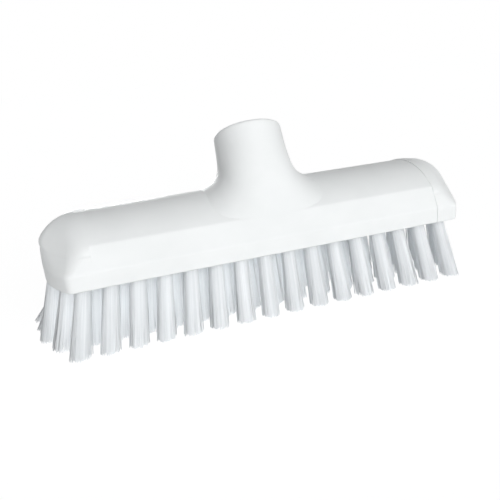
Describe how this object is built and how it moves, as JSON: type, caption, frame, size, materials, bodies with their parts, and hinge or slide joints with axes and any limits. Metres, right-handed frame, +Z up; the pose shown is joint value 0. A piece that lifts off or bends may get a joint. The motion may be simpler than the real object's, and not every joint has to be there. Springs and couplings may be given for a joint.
{
  "type": "scrub brush",
  "caption": "Deck scrub head: a long arched block with a leaning handle socket, and rows of stiff bristle tufts that flare out below it, for scrubbing floors on the end of a pole.",
  "frame": {"origin": "on the floor, under the middle of the block, at the level of the trimmed bristle tips", "axes": "+X along the head, +Y to the back, where the socket leans, +Z up"},
  "size_m": [0.2677, 0.072, 0.1077],
  "materials": {
    "block": "white moulded polypropylene, satin",
    "bristle": "white crimp-free polyester filament, trimmed level",
    "anchor_wire": "flat stainless wire, as cut"
  },
  "bodies": {
    "root": {"brush_block": "block", "tuft_column_01": "bristle", "tuft_column_02": "bristle", "tuft_column_03": "bristle", "tuft_column_04": "bristle", "tuft_column_05": "bristle", "tuft_column_06": "bristle", "tuft_column_07": "bristle", "tuft_column_08": "bristle", "tuft_column_09": "bristle", "tuft_column_10": "bristle", "tuft_column_11": "bristle", "tuft_column_12": "bristle", "tuft_column_13": "bristle", "tuft_column_14": "bristle", "tuft_column_15": "bristle", "tuft_column_16": "bristle", "tuft_column_17": "bristle", "tuft_column_18": "bristle", "tuft_column_19": "bristle", "tuft_column_20": "bristle", "tuft_column_21": "bristle", "tuft_column_22": "bristle", "tuft_column_23": "bristle", "tuft_column_24": "bristle", "tuft_column_25": "bristle", "tuft_column_26": "bristle", "tuft_column_27": "bristle", "tuft_column_28": "bristle", "tuft_column_29": "bristle", "tuft_column_30": "bristle", "tuft_column_31": "bristle", "tuft_column_32": "bristle", "tuft_column_33": "bristle", "tuft_column_34": "bristle", "tuft_column_35": "bristle", "anchor_row_1": "anchor_wire", "anchor_row_2": "anchor_wire", "anchor_row_3": "anchor_wire", "anchor_row_4": "anchor_wire", "anchor_row_5": "anchor_wire"}
  },
  "joints": []
}
